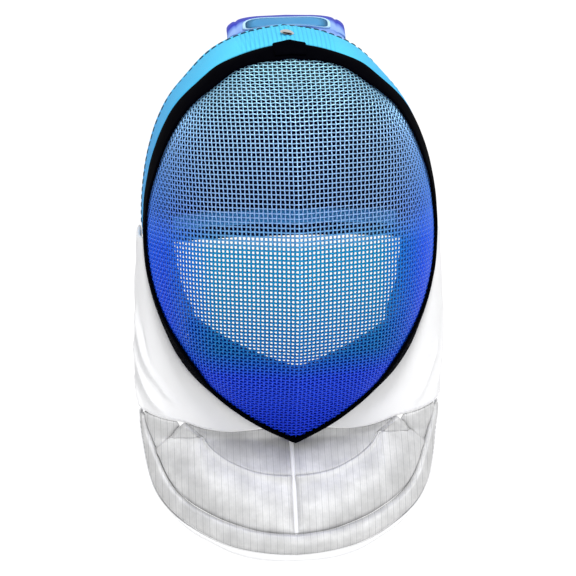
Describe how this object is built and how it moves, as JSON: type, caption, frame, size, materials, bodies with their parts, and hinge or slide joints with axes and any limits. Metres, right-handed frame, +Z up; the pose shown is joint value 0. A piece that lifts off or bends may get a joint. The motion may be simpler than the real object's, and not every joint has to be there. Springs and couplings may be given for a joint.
{
  "type": "fencing mask",
  "caption": "Fencing mask with a creased woven wire face, padded light blue crown, sprung tongue at the back and a quilted bib.",
  "frame": {"origin": "underside of the crown padding on the middle plane, where the top of the wearer's head touches it", "axes": "+Z up, the face looks along -Y, +X to the right of someone who looks at the face"},
  "size_m": [0.2172, 0.2159, 0.3698],
  "materials": {
    "wire_blue": "blue painted woven steel wire",
    "trim_black": "black rubberised tape, slight sheen",
    "crown_cloth": "light blue cloth, stitched ribs",
    "padding_navy": "dark navy knit padding",
    "elastic_blue": "mid blue elastic webbing",
    "padding_chin": "deep blue padding",
    "tongue_cloth": "blue coated cloth over foam",
    "badge_plate": "pale blue moulded plate",
    "bib_white": "white quilted protective cloth",
    "bib_silver": "silver conductive cloth, fine vertical lines",
    "piping_white": "white piping",
    "rivet_steel": "polished steel"
  },
  "bodies": {
    "root": {"face_mesh": "wire_blue", "rim_trim": "trim_black", "trim_tab": "trim_black", "crown_cover": "crown_cloth", "crown_binding": "crown_cloth", "crown_rivet": "rivet_steel", "head_lining": "padding_navy", "back_pad": "padding_navy", "back_strap": "elastic_blue", "chin_pad": "padding_chin", "tongue": "tongue_cloth", "tongue_badge": "badge_plate", "bib_side_left": "bib_white", "bib_side_right": "bib_white", "bib_throat_left": "bib_silver", "bib_throat_right": "bib_silver", "bib_front_left": "bib_silver", "bib_front_right": "bib_silver", "bib_gusset_left": "bib_silver", "bib_gusset_right": "bib_silver", "bib_border": "bib_silver", "bib_binding": "piping_white"}
  },
  "joints": []
}
